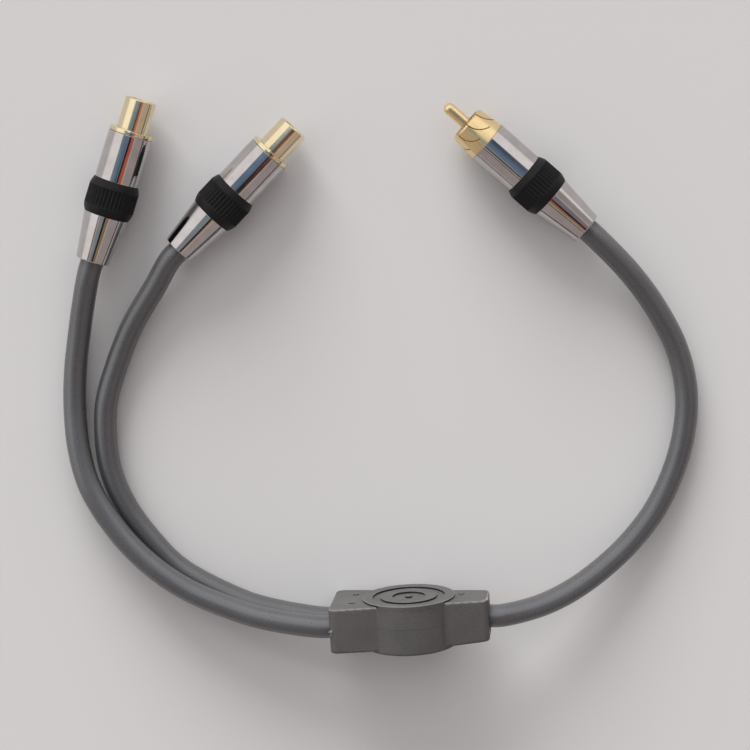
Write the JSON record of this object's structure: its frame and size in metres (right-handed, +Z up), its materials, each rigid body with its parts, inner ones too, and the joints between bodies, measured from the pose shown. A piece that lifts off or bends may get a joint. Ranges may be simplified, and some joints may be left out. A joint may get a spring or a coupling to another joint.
{
  "type": "y-adapter cable",
  "caption": "Audio adapter lead: a phono plug and phono sockets on short coaxial cables that meet in a moulded junction box.",
  "frame": {"origin": "on the surface that the adapter lies on, below the middle of the box round its connectors and junction box, measured without the three cables", "axes": "+Z up from the surface; the junction box is at -Y and the sockets and plug point towards +Y; +X from the sockets' side to the plug's side"},
  "size_m": [0.1721, 0.1482, 0.0256],
  "materials": {
    "gold_plate": "polished gold plating on turned brass",
    "polished_shell": "mirror-polished warm pearl nickel",
    "grip_rubber": "matt black ribbed rubber",
    "cable_jacket": "satin dark grey PVC with a pearly sheen",
    "moulded_grey": "matt warm grey moulding with a fine grain",
    "insulator": "off-white moulded insulator",
    "copper": "bare copper"
  },
  "bodies": {
    "root": {"plug_tail_cone": "polished_shell", "plug_grip_ring": "grip_rubber", "plug_barrel": "polished_shell", "plug_cable_clamp": "copper", "plug_core": "insulator", "plug_pin": "gold_plate", "plug_insulator": "insulator", "plug_ground_crown": "gold_plate", "socket_a_tail_cone": "polished_shell", "socket_a_grip_ring": "grip_rubber", "socket_a_barrel": "polished_shell", "socket_a_cable_clamp": "copper", "socket_a_core": "insulator", "socket_a_contact": "gold_plate", "socket_a_insulator": "insulator", "socket_a_sleeve": "gold_plate", "socket_b_tail_cone": "polished_shell", "socket_b_grip_ring": "grip_rubber", "socket_b_barrel": "polished_shell", "socket_b_cable_clamp": "copper", "socket_b_core": "insulator", "socket_b_contact": "gold_plate", "socket_b_insulator": "insulator", "socket_b_sleeve": "gold_plate", "junction_body": "moulded_grey", "signal_splice": "copper", "shield_splice": "copper", "junction_core_plug": "copper", "junction_core_a": "copper", "junction_core_b": "copper", "plug_cable": "cable_jacket", "socket_a_cable": "cable_jacket", "socket_b_cable": "cable_jacket"}
  },
  "joints": []
}
